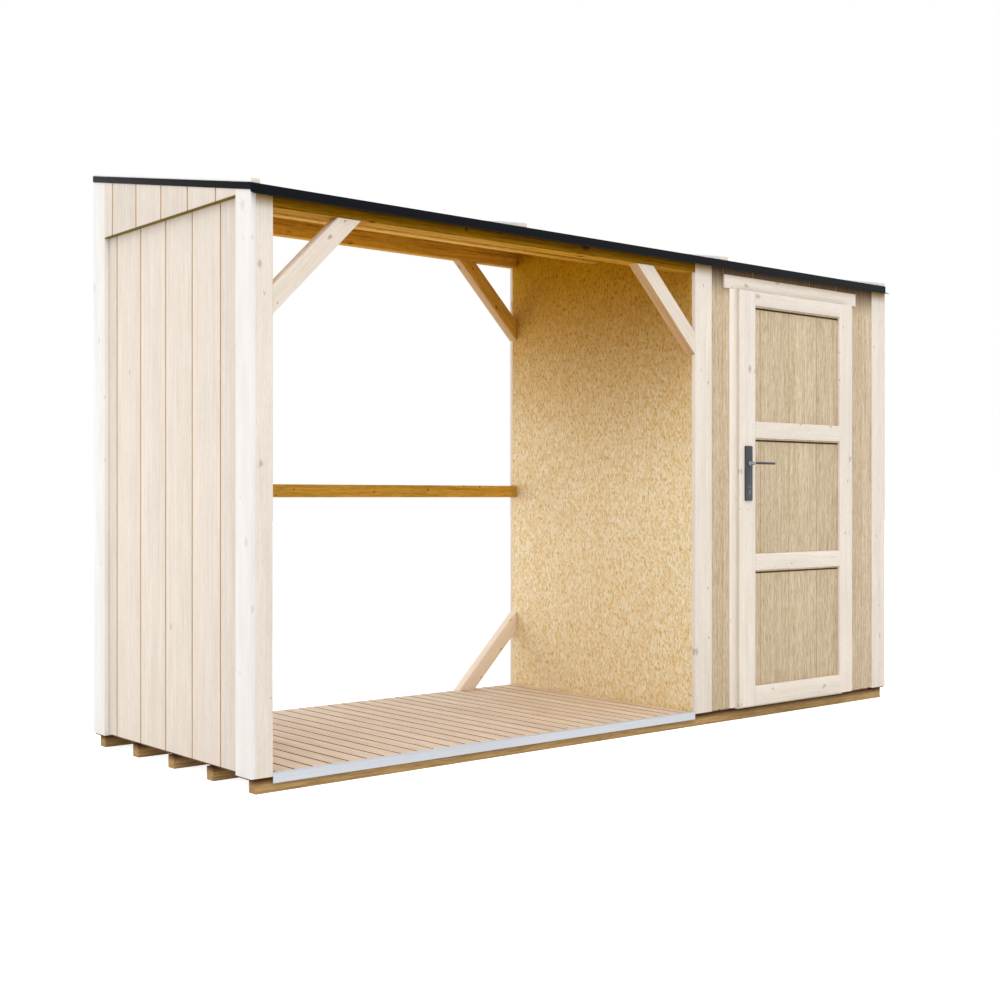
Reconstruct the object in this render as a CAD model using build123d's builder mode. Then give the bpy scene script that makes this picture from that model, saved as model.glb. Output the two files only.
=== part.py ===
"""Log store: an open firewood bay and a closed tool shed under one lean-to roof.

The origin is on the ground, at the middle of the length and of the depth, on the middle bearer's
underside. +X runs to the right along the front, -Y is the front and +Z is up. Millimetres.
"""
import os

from build123d import *

# Whole store
bay_length = 1928
store_depth = 1085
eave_height = 1775
roof_slope_share = 0.19

# Ground frame and floor
bearer_count = 5
bearer_width = 40
bearer_height = 43
bearer_end_inset = 22
bearer_setback = 10
floor_thickness = 11
floor_fit = 1
edge_strip_height = 28
edge_strip_leg = 26
edge_strip_sheet = 2

# Posts
post_depth = 91
left_post_width = 75
corner_post_width = 96
middle_post_width = 95
partition_thickness = 12
face_board_thickness = 18

# Roof timbers
front_beam_depth = 60
front_beam_height = 43
purlin_width = 45
purlin_height = 40
back_beam_depth = 45
back_beam_height = 93
back_rail_bottom = 874
back_rail_height = 50
back_rail_depth = 45

# Braces
brace_width = 60
brace_thickness = 45
front_brace_reach = 230
back_upper_brace_reach = 235
back_lower_brace_reach = 236

# Walls
cladding_thickness = 17
cladding_recess = 17
front_cladding_recess = 3
cladding_bottom = 51
gable_seam_drop = 4
wall_rail_height = 50
wall_rail_depth = 45

# Roof
roof_deck_thickness = 18
felt_thickness = 3
drip_sheet = 2
drip_face_height = 27
drip_lip_reach = 20
drip_lip_drop = 9
verge_height = 21
batten_count = 4
batten_width = 32
batten_height = 14

# Door
door_width = 728
door_left_gap = 127
door_right_gap = 186
door_bottom = 55
door_eave_gap = 91
door_clearance = 5
door_overlap = 22
door_head_overlap = 34
plank_thickness = 14
frame_board_thickness = 8
lock_stile_width = 95
hinge_stile_width = 87
bottom_rail_height = 75
rail_height = 65
top_rail_height = 55
panel_count = 3
casing_width = 48
casing_thickness = 8
casing_bottom = 51
lintel_overhang = 60
lintel_height = 52
lintel_thickness = 9

# Hinges
hinge_count = 3
hinge_height = 90
hinge_barrel_radius = 6
hinge_pin_radius = 3
hinge_plate_sheet = 3
hinge_plate_width = 16
hinge_end_inset = 140
hinge_web_width = 6
hinge_clearance = 0.3

# Handle
handle_plate_width = 40
handle_plate_height = 215
handle_plate_thickness = 8
handle_plate_over_spindle = 68
handle_plate_inset = 28
spindle_height = 1007
spindle_radius = 4
spindle_clearance = 0.3
lever_neck_radius = 8
lever_neck_gap = 0.5
lever_standoff = 34
lever_length = 108
lever_bar_height = 9
lever_bar_depth = 9
key_radius = 5
key_slot_width = 5
key_slot_length = 17
key_drop = 95

# Overrun of cuts
cut_overrun = 5

# Worked out
shed_front_length = door_left_gap + door_width + door_right_gap
store_length = bay_length + middle_post_width + shed_front_length + corner_post_width
front = -store_depth / 2
back = store_depth / 2
left = -store_length / 2
right = store_length / 2
bearer_top = bearer_height
floor_top = bearer_top + floor_thickness
cladding_face = cladding_recess
cladding_back = cladding_recess + cladding_thickness
front_cladding_face = front + front_cladding_recess
front_cladding_back = front_cladding_face + cladding_thickness
partition_left = left + bay_length
partition_right = partition_left + partition_thickness
middle_post_right = partition_left + middle_post_width
right_post_left = right - corner_post_width
bay_left = left + left_post_width
shed_back_face = back - cladding_back
door_left = middle_post_right + door_left_gap
door_right = door_left + door_width
doorway_left = door_left + door_overlap
doorway_right = door_right - door_overlap
door_top = eave_height - door_eave_gap
doorway_top = door_top - door_head_overlap
casing_front = front_cladding_face - casing_thickness
planks_back = casing_front - door_clearance
planks_front = planks_back - plank_thickness
door_front = planks_front - frame_board_thickness
hinge_axis_x = door_right + hinge_plate_sheet + hinge_barrel_radius
hinge_axis_y = planks_front
spindle_x = door_left + handle_plate_inset + handle_plate_width / 2
key_height = spindle_height - key_drop
handle_plate_bottom = spindle_height + handle_plate_over_spindle - handle_plate_height


def underside(y):
    """Height of the roof deck's underside at a place front to back."""
    return eave_height + roof_slope_share * (y - front)


# Undersides of the roof timbers and of the gables
front_beam_bottom = eave_height - front_beam_height
purlin_bottom = underside(-purlin_width / 2) - purlin_height
back_beam_bottom = underside(back - back_beam_depth) - back_beam_height
gable_seam_height = eave_height - gable_seam_drop


def roof_top(y):
    """Height of the felt's top face at a place front to back."""
    return underside(y) + roof_deck_thickness + felt_thickness


def save(part, name):
    """Labels a finished piece and writes its STEP file."""
    part.label = name
    export_step(part, f"parts/{name}.step")


def on_slope(name, spans, y0, y1, lift, height):
    """Pieces that lie on the roof's slope, each as wide along X as its span."""
    with BuildPart() as piece:
        for x0, x1 in spans:
            with BuildSketch(Plane.YZ.offset(x0)):
                with BuildLine():
                    Polyline(
                        (y0, underside(y0) + lift),
                        (y1, underside(y1) + lift),
                        (y1, underside(y1) + lift + height),
                        (y0, underside(y0) + lift + height),
                        close=True,
                    )
                make_face()
            extrude(amount=x1 - x0)
    save(piece.part, name)


def boxes(name, spans):
    """Square-edged pieces in one node, each from its lowest to its highest corner."""
    with BuildPart() as piece:
        for x0, y0, z0, x1, y1, z1 in spans:
            with BuildSketch(Plane.XY.offset(z0)):
                with Locations(((x0 + x1) / 2, (y0 + y1) / 2)):
                    Rectangle(x1 - x0, y1 - y0)
            extrude(amount=z1 - z0)
    save(piece.part, name)


def beams(name, runs):
    """Beams under the roof, each a run along X and Y from its bottom up to the roof's slope."""
    with BuildPart() as piece:
        for x0, x1, y0, y1, bottom in runs:
            with BuildSketch(Plane.YZ.offset(x0)):
                with BuildLine():
                    Polyline((y0, bottom), (y1, bottom), (y1, underside(y1)), (y0, underside(y0)), close=True)
                make_face()
            extrude(amount=x1 - x0)
    save(piece.part, name)


def brace(name, corner_x, corner_z, turn_x, turn_z, reach, y0):
    """A 45 degree brace in a corner, its two ends cut to the post and to the beam or floor."""
    far_reach = reach + brace_width * 2**0.5
    with BuildPart() as piece:
        with BuildSketch(Plane.XZ.offset(-y0)):
            with BuildLine():
                Polyline(
                    (corner_x + turn_x * reach, corner_z),
                    (corner_x + turn_x * far_reach, corner_z),
                    (corner_x, corner_z + turn_z * far_reach),
                    (corner_x, corner_z + turn_z * reach),
                    close=True,
                )
            make_face()
        extrude(amount=-brace_thickness)
    save(piece.part, name)


os.makedirs("parts", exist_ok=True)

# Bearers: five skids along the length, evenly spread over the depth
bearer_first = front + bearer_setback + bearer_width / 2
bearer_pitch = (store_depth - 2 * bearer_setback - bearer_width) / (bearer_count - 1)
with BuildPart() as bearers:
    with BuildSketch(Plane.XY):
        with Locations([(0, bearer_first + i * bearer_pitch) for i in range(bearer_count)]):
            Rectangle(store_length - 2 * bearer_end_inset, bearer_width)
    extrude(amount=bearer_height)
save(bearers.part, "bearers")

# Floor deck: one slab inside the cladding, notched round the posts and the partition's foot
floor_left = left + cladding_back
floor_right = right - cladding_back
floor_front = front + edge_strip_sheet
floor_back = back - bearer_setback
with BuildPart() as floor_deck:
    with BuildSketch(Plane.XY.offset(bearer_top)):
        with Locations(((floor_left + floor_right) / 2, (floor_front + floor_back) / 2)):
            Rectangle(floor_right - floor_left, floor_back - floor_front)
        for x0, x1 in (
            (left, bay_left + floor_fit),
            (partition_left - floor_fit, middle_post_right + floor_fit),
            (right_post_left - floor_fit, right),
        ):
            for y0, y1 in ((front, front + post_depth + floor_fit), (back - post_depth - floor_fit, back)):
                with Locations(((x0 + x1) / 2, (y0 + y1) / 2)):
                    Rectangle(x1 - x0, y1 - y0, mode=Mode.SUBTRACT)
        for y0, y1 in ((front, front_cladding_back), (shed_back_face, back)):
            with Locations(((middle_post_right + right_post_left) / 2, (y0 + y1) / 2)):
                Rectangle(right_post_left - middle_post_right, y1 - y0, mode=Mode.SUBTRACT)
    extrude(amount=floor_thickness)
save(floor_deck.part, "floor_deck")

# Floor edge strip: a metal angle over the front edge of the bay's floor
with BuildPart() as floor_edge_strip:
    with BuildSketch(Plane.YZ.offset(bay_left)):
        with BuildLine():
            strip_top = floor_top + edge_strip_sheet
            Polyline(
                (front, strip_top - edge_strip_height),
                (front + edge_strip_sheet, strip_top - edge_strip_height),
                (front + edge_strip_sheet, floor_top),
                (front + edge_strip_leg, floor_top),
                (front + edge_strip_leg, strip_top),
                (front, strip_top),
                close=True,
            )
        make_face()
    extrude(amount=partition_left - bay_left)
save(floor_edge_strip.part, "floor_edge_strip")

# Corner posts, their tops cut to the roof's slope
front_post_back = front + post_depth
back_post_front = back - post_depth
beams("front_left_post", [(left, bay_left, front, front_post_back, bearer_top)])
beams("back_left_post", [(left, bay_left, back_post_front, back, bearer_top)])
beams("front_right_post", [(right_post_left, right, front, front_post_back, bearer_top)])
beams("back_right_post", [(right_post_left, right, back_post_front, back, bearer_top)])

# Middle posts, rebated on their left for the partition panel, which runs between two face boards
for post_name, y0, y1, face_y in (
    ("front_middle_post", front, front_post_back, front + face_board_thickness),
    ("back_middle_post", back_post_front, back, back - face_board_thickness),
):
    with BuildPart() as middle_post:
        with BuildSketch(Plane.YZ.offset(partition_left)):
            with BuildLine():
                Polyline(
                    (y0, bearer_top),
                    (y1, bearer_top),
                    (y1, underside(y1)),
                    (y0, underside(y0)),
                    close=True,
                )
            make_face()
        extrude(amount=middle_post_width)
        rebate_start, rebate_end = sorted((face_y, y1 if post_name.startswith("front") else y0))
        with BuildSketch(Plane.XY.offset(bearer_top)):
            with Locations(((partition_left + partition_right) / 2, (rebate_start + rebate_end) / 2)):
                Rectangle(partition_thickness, rebate_end - rebate_start)
        extrude(amount=underside(back), mode=Mode.SUBTRACT)
    save(middle_post.part, post_name)

# Partition panel between the bay and the shed
beams(
    "partition_panel",
    [(partition_left, partition_right, front + face_board_thickness, back - face_board_thickness, floor_top)],
)

# Roof timbers, cut between the posts and the partition
shed_beam_front = front_cladding_back
beams(
    "front_beams",
    [
        (bay_left, partition_left, front, front + front_beam_depth, front_beam_bottom),
        (middle_post_right, right_post_left, shed_beam_front, shed_beam_front + front_beam_depth,
         front_beam_bottom),
    ],
)
beams(
    "purlins",
    [
        (floor_left, partition_left, -purlin_width / 2, purlin_width / 2, purlin_bottom),
        (partition_right, floor_right, -purlin_width / 2, purlin_width / 2, purlin_bottom),
    ],
)
beams(
    "back_beams",
    [
        (bay_left, partition_left, back - back_beam_depth, back, back_beam_bottom),
        (middle_post_right, right_post_left, shed_back_face - back_beam_depth, shed_back_face,
         back_beam_bottom),
    ],
)
boxes(
    "back_rail",
    [
        (bay_left, back - back_rail_depth, back_rail_bottom,
         partition_left, back, back_rail_bottom + back_rail_height),
    ],
)

# Braces: two under the front beam, two under the back beam, two on the floor at the back
brace_back = back - brace_thickness
brace("front_left_brace", bay_left, front_beam_bottom, 1, -1, front_brace_reach, front)
brace("front_right_brace", partition_left, front_beam_bottom, -1, -1, front_brace_reach, front)
brace("back_left_upper_brace", bay_left, back_beam_bottom, 1, -1, back_upper_brace_reach, brace_back)
brace("back_right_upper_brace", partition_left, back_beam_bottom, -1, -1, back_upper_brace_reach, brace_back)
brace("back_left_lower_brace", bay_left, floor_top, 1, 1, back_lower_brace_reach, brace_back)
brace("back_right_lower_brace", partition_left, floor_top, -1, 1, back_lower_brace_reach, brace_back)

# Side walls: recessed cladding between the posts, a proud gable above the seam, rails inside
for side, outer, inward in (("left", left, 1), ("right", right, -1)):
    faces = [outer, outer + inward * cladding_face, outer + inward * cladding_back]
    rail_inner = outer + inward * (cladding_back + wall_rail_depth)
    cladding_x0, cladding_x1 = sorted(faces[1:])
    gable_x0, gable_x1 = sorted(faces[:2])
    beams(
        f"{side}_wall_cladding",
        [(cladding_x0, cladding_x1, front_post_back, back_post_front, cladding_bottom)],
    )
    beams(f"{side}_gable", [(gable_x0, gable_x1, front_post_back, back_post_front, gable_seam_height)])
    rail_span = sorted((faces[2], rail_inner))
    boxes(
        f"{side}_wall_rails",
        [
            (rail_span[0], front_post_back, z, rail_span[1], back_post_front, z + wall_rail_height)
            for z in (back_rail_bottom, gable_seam_height - wall_rail_height)
        ],
    )

# Shed front and back cladding, split beside and over the doorway
front_faces = (front_cladding_face, front_cladding_back)
boxes(
    "front_cladding_left",
    [(middle_post_right, front_faces[0], cladding_bottom, doorway_left, front_faces[1], doorway_top)],
)
boxes(
    "front_cladding_right",
    [(doorway_right, front_faces[0], cladding_bottom, right_post_left, front_faces[1], doorway_top)],
)
beams(
    "front_cladding_over_door",
    [(middle_post_right, right_post_left, front_faces[0], front_faces[1], doorway_top)],
)
beams(
    "shed_back_cladding",
    [(middle_post_right, right_post_left, shed_back_face, back - cladding_face, cladding_bottom)],
)

# Roof: deck, felt, drip edges and battens
on_slope("roof_deck", [(left, right)], front, back, 0, roof_deck_thickness)
on_slope("roofing_felt", [(left, right)], front, back, roof_deck_thickness, felt_thickness)
for edge_name, edge_y, outward in (("front_drip_edge", front, -1), ("back_drip_edge", back, 1)):
    edge_top = roof_top(edge_y)
    edge_bottom = edge_top - drip_face_height
    tip_y = edge_y + outward * (drip_sheet + drip_lip_reach)
    with BuildPart() as drip_edge:
        with BuildSketch(Plane.YZ.offset(left - drip_sheet)):
            with BuildLine():
                Polyline(
                    (edge_y, edge_top),
                    (edge_y + outward * drip_sheet, edge_top),
                    (edge_y + outward * drip_sheet, edge_bottom + drip_sheet),
                    (tip_y, edge_bottom - drip_lip_drop + drip_sheet),
                    (tip_y, edge_bottom - drip_lip_drop),
                    (edge_y, edge_bottom),
                    close=True,
                )
            make_face()
        extrude(amount=store_length + 2 * drip_sheet)
    save(drip_edge.part, edge_name)
verge_lift = roof_deck_thickness + felt_thickness - verge_height
on_slope("left_drip_edge", [(left - drip_sheet, left)], front, back, verge_lift, verge_height)
on_slope("right_drip_edge", [(right, right + drip_sheet)], front, back, verge_lift, verge_height)
batten_pitch = (store_length - batten_width) / (batten_count - 1)
batten_starts = [left + i * batten_pitch for i in range(batten_count)]
batten_spans = [(x0, x0 + batten_width) for x0 in batten_starts]
on_slope("roof_battens", batten_spans, front, back, roof_deck_thickness + felt_thickness, batten_height)

# Door surround: casings on the cladding beside the doorway, a lintel over it
casing_back = front_cladding_face
lintel_bottom = door_top + door_clearance
boxes(
    "door_casings",
    [
        (x0, casing_front, casing_bottom, x0 + casing_width, casing_back, lintel_bottom)
        for x0 in (doorway_left - casing_width, doorway_right)
    ],
)
boxes(
    "door_lintel",
    [
        (door_left - lintel_overhang, casing_back - lintel_thickness, lintel_bottom,
         door_right + lintel_overhang, casing_back, lintel_bottom + lintel_height),
    ],
)

# Threshold across the doorway, on the front bearer
boxes(
    "door_threshold",
    [(doorway_left, front_cladding_face, bearer_top, doorway_right, front_cladding_back, floor_top)],
)


def door_board(name, spans, y0, y1):
    """Boards of the door leaf, bored for the handle's spindle and for the key where they cross them."""
    with BuildPart() as board:
        for x0, z0, x1, z1 in spans:
            with BuildSketch(Plane.XZ.offset(-y0)):
                with Locations(((x0 + x1) / 2, (z0 + z1) / 2)):
                    Rectangle(x1 - x0, z1 - z0)
            extrude(amount=y0 - y1)
        if spans[0][0] < spindle_x < spans[0][2]:
            with BuildSketch(Plane.XZ.offset(-y0 + cut_overrun)):
                with Locations((spindle_x, spindle_height)):
                    Circle(spindle_radius + spindle_clearance)
                with Locations((spindle_x, key_height)):
                    Circle(key_radius)
            extrude(amount=y0 - y1 - 2 * cut_overrun, mode=Mode.SUBTRACT)
    save(board.part, name)


# Door leaf: planks behind a frame of boards
rail_left = door_left + lock_stile_width
rail_right = door_right - hinge_stile_width
top_rail_bottom = door_top - top_rail_height
bottom_rail_top = door_bottom + bottom_rail_height
panel_pitch = (top_rail_bottom + rail_height - bottom_rail_top) / panel_count
rail_heights = [(door_bottom, bottom_rail_top)]
for i in range(1, panel_count):
    rail_heights.append((bottom_rail_top + i * panel_pitch - rail_height, bottom_rail_top + i * panel_pitch))
rail_heights.append((top_rail_bottom, door_top))
door_board("door_planks", [(door_left, door_bottom, door_right, door_top)], planks_front, planks_back)
door_board("door_lock_stile", [(door_left, door_bottom, rail_left, door_top)], door_front, planks_front)
door_board("door_hinge_stile", [(rail_right, door_bottom, door_right, door_top)], door_front, planks_front)
rail_spans = [(rail_left, z0, rail_right, z1) for z0, z1 in rail_heights]
door_board("door_rails", rail_spans, door_front, planks_front)

# Hinges: a pin and lower barrel on the casing, an upper barrel on the leaf's edge
hinge_half = hinge_height / 2
hinge_first = door_bottom + hinge_end_inset
hinge_pitch = (door_top - door_bottom - 2 * hinge_end_inset - hinge_height) / (hinge_count - 1)
hinge_bottoms = [hinge_first + i * hinge_pitch for i in range(hinge_count)]
with BuildPart() as frame_hinges:
    for z0 in hinge_bottoms:
        with BuildSketch(Plane.XY.offset(z0)):
            with Locations((hinge_axis_x, hinge_axis_y)):
                Circle(hinge_barrel_radius)
            with Locations((hinge_axis_x, (hinge_axis_y + casing_front) / 2)):
                Rectangle(hinge_web_width, casing_front - hinge_axis_y)
            with Locations((hinge_axis_x + hinge_plate_width / 2, casing_front - hinge_plate_sheet / 2)):
                Rectangle(hinge_plate_width, hinge_plate_sheet)
        extrude(amount=hinge_half)
        with BuildSketch(Plane.XY.offset(z0)):
            with Locations((hinge_axis_x, hinge_axis_y)):
                Circle(hinge_pin_radius)
        extrude(amount=hinge_height)
save(frame_hinges.part, "frame_hinges")
with BuildPart() as door_hinges:
    for z0 in hinge_bottoms:
        with BuildSketch(Plane.XY.offset(z0 + hinge_half + hinge_clearance)):
            with Locations((hinge_axis_x, hinge_axis_y)):
                Circle(hinge_barrel_radius)
            with Locations((door_right + hinge_plate_sheet / 2, (door_front + planks_back) / 2)):
                Rectangle(hinge_plate_sheet, planks_back - door_front)
            with Locations(((door_right + hinge_axis_x) / 2, hinge_axis_y)):
                Rectangle(hinge_axis_x - door_right, hinge_web_width)
            with Locations((hinge_axis_x, hinge_axis_y)):
                Circle(hinge_pin_radius + hinge_clearance, mode=Mode.SUBTRACT)
        extrude(amount=hinge_half - hinge_clearance)
save(door_hinges.part, "door_hinges")

# Handle plates on both faces of the lock stile, with the key's slot
for plate_name, plate_y, outward in (
    ("outer_handle_plate", door_front, -1),
    ("inner_handle_plate", planks_back, 1),
):
    with BuildPart() as handle_plate:
        with BuildSketch(Plane.XZ.offset(-plate_y)):
            with Locations((spindle_x, handle_plate_bottom + handle_plate_height / 2)):
                Rectangle(handle_plate_width, handle_plate_height)
            with Locations((spindle_x, spindle_height)):
                Circle(spindle_radius + spindle_clearance, mode=Mode.SUBTRACT)
            with Locations((spindle_x, key_height)):
                Circle(key_radius, mode=Mode.SUBTRACT)
            with Locations((spindle_x, key_height - key_slot_length / 2)):
                Rectangle(key_slot_width, key_slot_length, mode=Mode.SUBTRACT)
        extrude(amount=-outward * handle_plate_thickness)
    save(handle_plate.part, plate_name)

# Lever set: a spindle through the leaf with a neck and a lever on each side
outer_neck_start = door_front - handle_plate_thickness - lever_neck_gap
inner_neck_start = planks_back + handle_plate_thickness + lever_neck_gap
outer_lever_end = outer_neck_start - lever_standoff - lever_bar_depth
inner_lever_end = inner_neck_start + lever_standoff + lever_bar_depth
with BuildPart() as lever_set:
    with BuildSketch(Plane.XZ.offset(-outer_lever_end)):
        with Locations((spindle_x, spindle_height)):
            Circle(spindle_radius)
    extrude(amount=outer_lever_end - inner_lever_end)
    for neck_start, outward in ((outer_neck_start, -1), (inner_neck_start, 1)):
        with BuildSketch(Plane.XZ.offset(-neck_start)):
            with Locations((spindle_x, spindle_height)):
                Circle(lever_neck_radius)
        extrude(amount=-outward * (lever_standoff + lever_bar_depth))
        with BuildSketch(Plane.XZ.offset(-neck_start - outward * lever_standoff)):
            with Locations((spindle_x + lever_length / 2, spindle_height)):
                Rectangle(lever_length, lever_bar_height)
        extrude(amount=-outward * lever_bar_depth)
save(lever_set.part, "lever_set")
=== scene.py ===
import math
import random

import bmesh
import bpy
from mathutils import Matrix, Vector


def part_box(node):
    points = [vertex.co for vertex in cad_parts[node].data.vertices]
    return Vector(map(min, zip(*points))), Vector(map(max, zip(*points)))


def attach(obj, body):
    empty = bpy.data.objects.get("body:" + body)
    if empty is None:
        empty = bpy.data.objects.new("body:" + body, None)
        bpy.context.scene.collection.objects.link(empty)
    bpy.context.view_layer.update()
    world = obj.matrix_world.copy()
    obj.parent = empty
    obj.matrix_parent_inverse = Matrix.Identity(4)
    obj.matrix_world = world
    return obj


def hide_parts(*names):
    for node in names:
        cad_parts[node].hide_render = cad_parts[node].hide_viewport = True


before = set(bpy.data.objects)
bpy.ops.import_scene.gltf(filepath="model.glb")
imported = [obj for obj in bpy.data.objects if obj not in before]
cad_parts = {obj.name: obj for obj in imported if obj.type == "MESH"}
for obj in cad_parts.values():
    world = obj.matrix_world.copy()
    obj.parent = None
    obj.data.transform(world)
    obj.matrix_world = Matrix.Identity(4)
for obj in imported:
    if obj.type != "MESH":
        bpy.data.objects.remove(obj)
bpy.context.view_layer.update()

# Values: real sizes in metres, from model.glb where it has them
MM = 0.001
ROOF_SLOPE = 0.19
BOARD_PITCH = 180 * MM
BOARD_GAP = 0.3 * MM
GROOVE = 1.6 * MM
WALL_JOINT = 6 * MM
SHED_JOINT = 1.2 * MM
DOOR_JOINT = 2 * MM
TONGUE_DEPTH = 6 * MM
ARRIS = 1.6 * MM
FLOOR_PITCH = 66.1 * MM
FLOOR_GAP = 6 * MM
FLOOR_FIT = 1 * MM
ROOF_BOARD_PITCH = 118 * MM
TRIM_BOARD = 17 * MM
LIPPING = 12 * MM
DOOR_ARRIS = 2 * MM
PANEL_SINK = 5 * MM
BOARD_LIFT = 2 * MM
GABLE_STRIP = 2.5 * MM
PACKER = 5 * MM
grain_draw = random.Random(41)

deck_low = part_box("roof_deck")[0]
FRONT = deck_low[1]
LEFT = deck_low[0]
EAVE = deck_low[2]


def roof_under(y):
    """Height of the roof deck's underside at a place front to back."""
    return EAVE + ROOF_SLOPE * (y - FRONT)


# Materials
def linear(hex_colour):
    """An sRGB hex colour as linear red, green, blue and alpha."""
    parts = [int(hex_colour[i:i + 2], 16) / 255 for i in (1, 3, 5)]
    return [c / 12.92 if c <= 0.04045 else ((c + 0.055) / 1.055) ** 2.4 for c in parts] + [1.0]


def node(tree, kind, inputs=(), **settings):
    """Adds a node, sets its properties and fills its inputs: a socket is linked, anything else is a value."""
    made = tree.nodes.new("ShaderNode" + kind)
    for name, value in settings.items():
        setattr(made, name, value)
    for key, value in dict(inputs).items():
        if isinstance(value, bpy.types.NodeSocket):
            tree.links.new(value, made.inputs[key])
        else:
            made.inputs[key].default_value = value
    return made


def new_material(name):
    """A material with an empty tree, its shader and its output."""
    made = bpy.data.materials.new(name)
    made.use_nodes = True
    tree = made.node_tree
    tree.nodes.clear()
    shader = node(tree, "BsdfPrincipled")
    node(tree, "OutputMaterial", {"Surface": shader.outputs["BSDF"]})
    return made, tree, shader


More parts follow.
